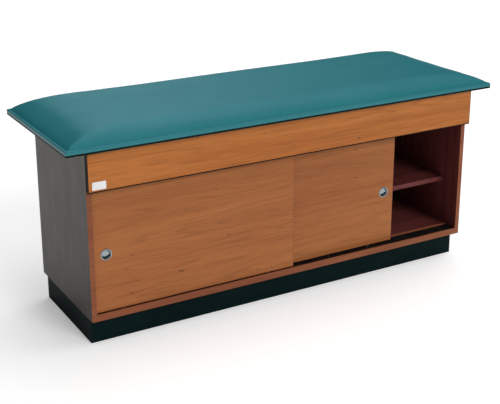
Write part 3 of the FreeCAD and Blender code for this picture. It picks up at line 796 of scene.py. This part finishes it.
STAPLE_WIDTH = 0.011
STAPLE_WIRE = 0.0012
STAPLE_LEG = 0.0030
STAPLE_INSET = 0.010
STAPLE_SPACING = 0.06
bpy.ops.object.select_all(action="DESELECT")
bpy.ops.mesh.primitive_cube_add(size=1, location=(0, 0, 0))
staple = start_piece("staple")
bpy.ops.mesh.select_all(action="SELECT")
bpy.ops.transform.resize(value=(STAPLE_WIDTH, STAPLE_WIRE, STAPLE_WIRE / 2))
bpy.ops.transform.translate(value=(0, 0, -STAPLE_WIRE / 4))
for end in (-1, 1):
    bpy.ops.mesh.select_all(action="DESELECT")
    shape = bmesh.from_edit_mesh(staple.data)
    for face in shape.faces:
        face.select_set(face.normal.x * end > 0.9)
    bmesh.update_edit_mesh(staple.data)
    bpy.ops.mesh.extrude_region_move(TRANSFORM_OT_translate={"value": (end * STAPLE_WIRE, 0, 0)})
    bpy.ops.mesh.select_all(action="DESELECT")
    shape = bmesh.from_edit_mesh(staple.data)
    for face in shape.faces:
        over_leg = face.calc_center_median().x * end > STAPLE_WIDTH / 2
        face.select_set(face.normal.z > 0.9 and over_leg)
    bmesh.update_edit_mesh(staple.data)
    bpy.ops.mesh.extrude_region_move(TRANSFORM_OT_translate={"value": (0, 0, STAPLE_LEG)})
bpy.ops.mesh.select_all(action="SELECT")
bpy.ops.mesh.normals_make_consistent(inside=False)
bpy.ops.object.mode_set(mode="OBJECT")

staple_half = pad_half - Vector((STAPLE_INSET, STAPLE_INSET))
staples = []
along_side = int(staple_half.x / STAPLE_SPACING)
for number in range(-along_side, along_side + 1):
    for y in (-staple_half.y, staple_half.y):
        staples.append(((number * STAPLE_SPACING, y, rim_foot), (0, 0, 0)))
along_end = int(staple_half.y / STAPLE_SPACING)
for number in range(-along_end, along_end + 1):
    for x in (-staple_half.x, staple_half.x):
        staples.append(((x, number * STAPLE_SPACING, rim_foot), (0, 0, math.radians(90))))
joined_copies(staple, "hem_staples", staples)
bpy.data.objects.remove(staple)

# The floor is a plain white sheet that keeps the table's shadow. One lamp stands in front and a
# softer one at the right end. A cool panel overhead, behind the table, which only mirrored rays
# see, gives the vinyl its sheen.

FLOOR_SIZE = 60.0
FLOOR_GREY = 0.86
FLOOR_LIFT = 0.28
bpy.ops.object.select_all(action="DESELECT")
bpy.ops.mesh.primitive_plane_add(size=FLOOR_SIZE, location=(0, 0, 0))
floor = bpy.context.object
floor.name = "floor"
floor_material = bpy.data.materials.new("white_floor")
floor_material.use_nodes = True
tree = floor_material.node_tree
tree.nodes.clear()
paper = tree.nodes.new("ShaderNodeBsdfDiffuse")
paper.inputs["Color"].default_value = (FLOOR_GREY, FLOOR_GREY, FLOOR_GREY, 1)
glow = tree.nodes.new("ShaderNodeEmission")
seen = tree.nodes.new("ShaderNodeLightPath")
lift = tree.nodes.new("ShaderNodeMath")
lift.operation = "MULTIPLY"
lift.inputs[1].default_value = FLOOR_LIFT
tree.links.new(seen.outputs["Is Camera Ray"], lift.inputs[0])
tree.links.new(lift.outputs[0], glow.inputs["Strength"])
both = tree.nodes.new("ShaderNodeAddShader")
tree.links.new(paper.outputs[0], both.inputs[0])
tree.links.new(glow.outputs[0], both.inputs[1])
output = tree.nodes.new("ShaderNodeOutputMaterial")
tree.links.new(both.outputs[0], output.inputs["Surface"])
floor.data.materials.append(floor_material)

world = bpy.data.worlds.new("studio")
bpy.context.scene.world = world
world.use_nodes = True
tree = world.node_tree
tree.nodes.clear()
ambient = tree.nodes.new("ShaderNodeBackground")
seen = tree.nodes.new("ShaderNodeLightPath")
AMBIENT_LEVEL = 0.26
MIRRORED_LEVEL = 0.03
HORIZON_LEVEL = 0.50
OVERHEAD_LEVEL = 0.70
MIRRORED_TINT = (0.66, 0.88, 1.0, 1.0)
RIGHT = (1, 0, 0)
BACK = (0, 1, 0)
UP = (0, 0, 1)
ray = tree.nodes.new("ShaderNodeTexCoord").outputs["Generated"]


def ray_share(way, dark, bright):
    """How far a ray goes one way, from 0 at the dark limit to 1 at the bright one."""
    towards = tree.nodes.new("ShaderNodeVectorMath")
    towards.operation = "DOT_PRODUCT"
    towards.inputs[1].default_value = way
    tree.links.new(ray, towards.inputs[0])
    share = tree.nodes.new("ShaderNodeMapRange")
    share.interpolation_type = "SMOOTHSTEP"
    share.inputs["From Min"].default_value = dark
    share.inputs["From Max"].default_value = bright
    tree.links.new(towards.outputs["Value"], share.inputs["Value"])
    return share.outputs["Result"]


left_end = ray_share(RIGHT, dark=0.10, bright=0.28)
right_end = ray_share(RIGHT, dark=0.60, bright=0.36)
across = sums(tree, "MULTIPLY", left_end, right_end)
panel = sums(tree, "MULTIPLY", across, ray_share(BACK, dark=-0.2, bright=0.1))
overhead = sums(tree, "MULTIPLY", ray_share(UP, dark=0.28, bright=0.55), OVERHEAD_LEVEL)
mirrored = sums(tree, "MULTIPLY", panel, sums(tree, "ADD", overhead, HORIZON_LEVEL))
tint = tree.nodes.new("ShaderNodeMix")
tint.data_type = "RGBA"
tint.inputs["A"].default_value = (1, 1, 1, 1)
tint.inputs["B"].default_value = MIRRORED_TINT
tree.links.new(seen.outputs["Is Glossy Ray"], tint.inputs["Factor"])
tree.links.new(tint.outputs["Result"], ambient.inputs["Color"])
for_mirrors = tree.nodes.new("ShaderNodeMix")
for_mirrors.inputs["A"].default_value = AMBIENT_LEVEL
tree.links.new(sums(tree, "ADD", mirrored, MIRRORED_LEVEL), for_mirrors.inputs["B"])
tree.links.new(seen.outputs["Is Glossy Ray"], for_mirrors.inputs["Factor"])
level = tree.nodes.new("ShaderNodeMix")
tree.links.new(for_mirrors.outputs["Result"], level.inputs["A"])
level.inputs["B"].default_value = 1.0
tree.links.new(seen.outputs["Is Camera Ray"], level.inputs["Factor"])
tree.links.new(level.outputs["Result"], ambient.inputs["Strength"])
output = tree.nodes.new("ShaderNodeOutputWorld")
tree.links.new(ambient.outputs[0], output.inputs["Surface"])


def distant_lamp(name, turn, height, softness, strength):
    """A lamp with parallel rays from a compass turn right of the front and a height, in degrees."""
    lamp = bpy.data.lights.new(name, "SUN")
    lamp.angle = math.radians(softness)
    lamp.energy = strength
    holder = bpy.data.objects.new(name, lamp)
    holder.rotation_euler = (math.radians(90 - height), 0, math.radians(turn))
    holder.visible_glossy = False
    bpy.context.scene.collection.objects.link(holder)


distant_lamp("front_lamp", turn=12, height=29, softness=24, strength=1.52)
distant_lamp("side_lamp", turn=95, height=60, softness=75, strength=1.74)

# The camera stands in front of the left end, well above the top, as in the photograph. Its small
# lens shift sets the table's height in the picture.

PICTURE_WIDTH = 500
FOCAL_PIXELS = 1067.7
LENS_SHIFT = -0.10
CAMERA_PLACE = (-2.0518, -3.4637, 1.832)
CAMERA_DOWN = math.radians(17.988)
CAMERA_RIGHT = math.radians(30.122)
camera = bpy.data.cameras.new("camera")
camera.sensor_width = 36.0
camera.lens = FOCAL_PIXELS / PICTURE_WIDTH * camera.sensor_width
camera.shift_y = LENS_SHIFT
viewer = bpy.data.objects.new("camera", camera)
viewer.location = CAMERA_PLACE
viewer.rotation_euler = (math.radians(90) - CAMERA_DOWN, 0, -CAMERA_RIGHT)
bpy.context.scene.collection.objects.link(viewer)
bpy.context.scene.camera = viewer
bpy.context.scene.view_settings.view_transform = "Standard"
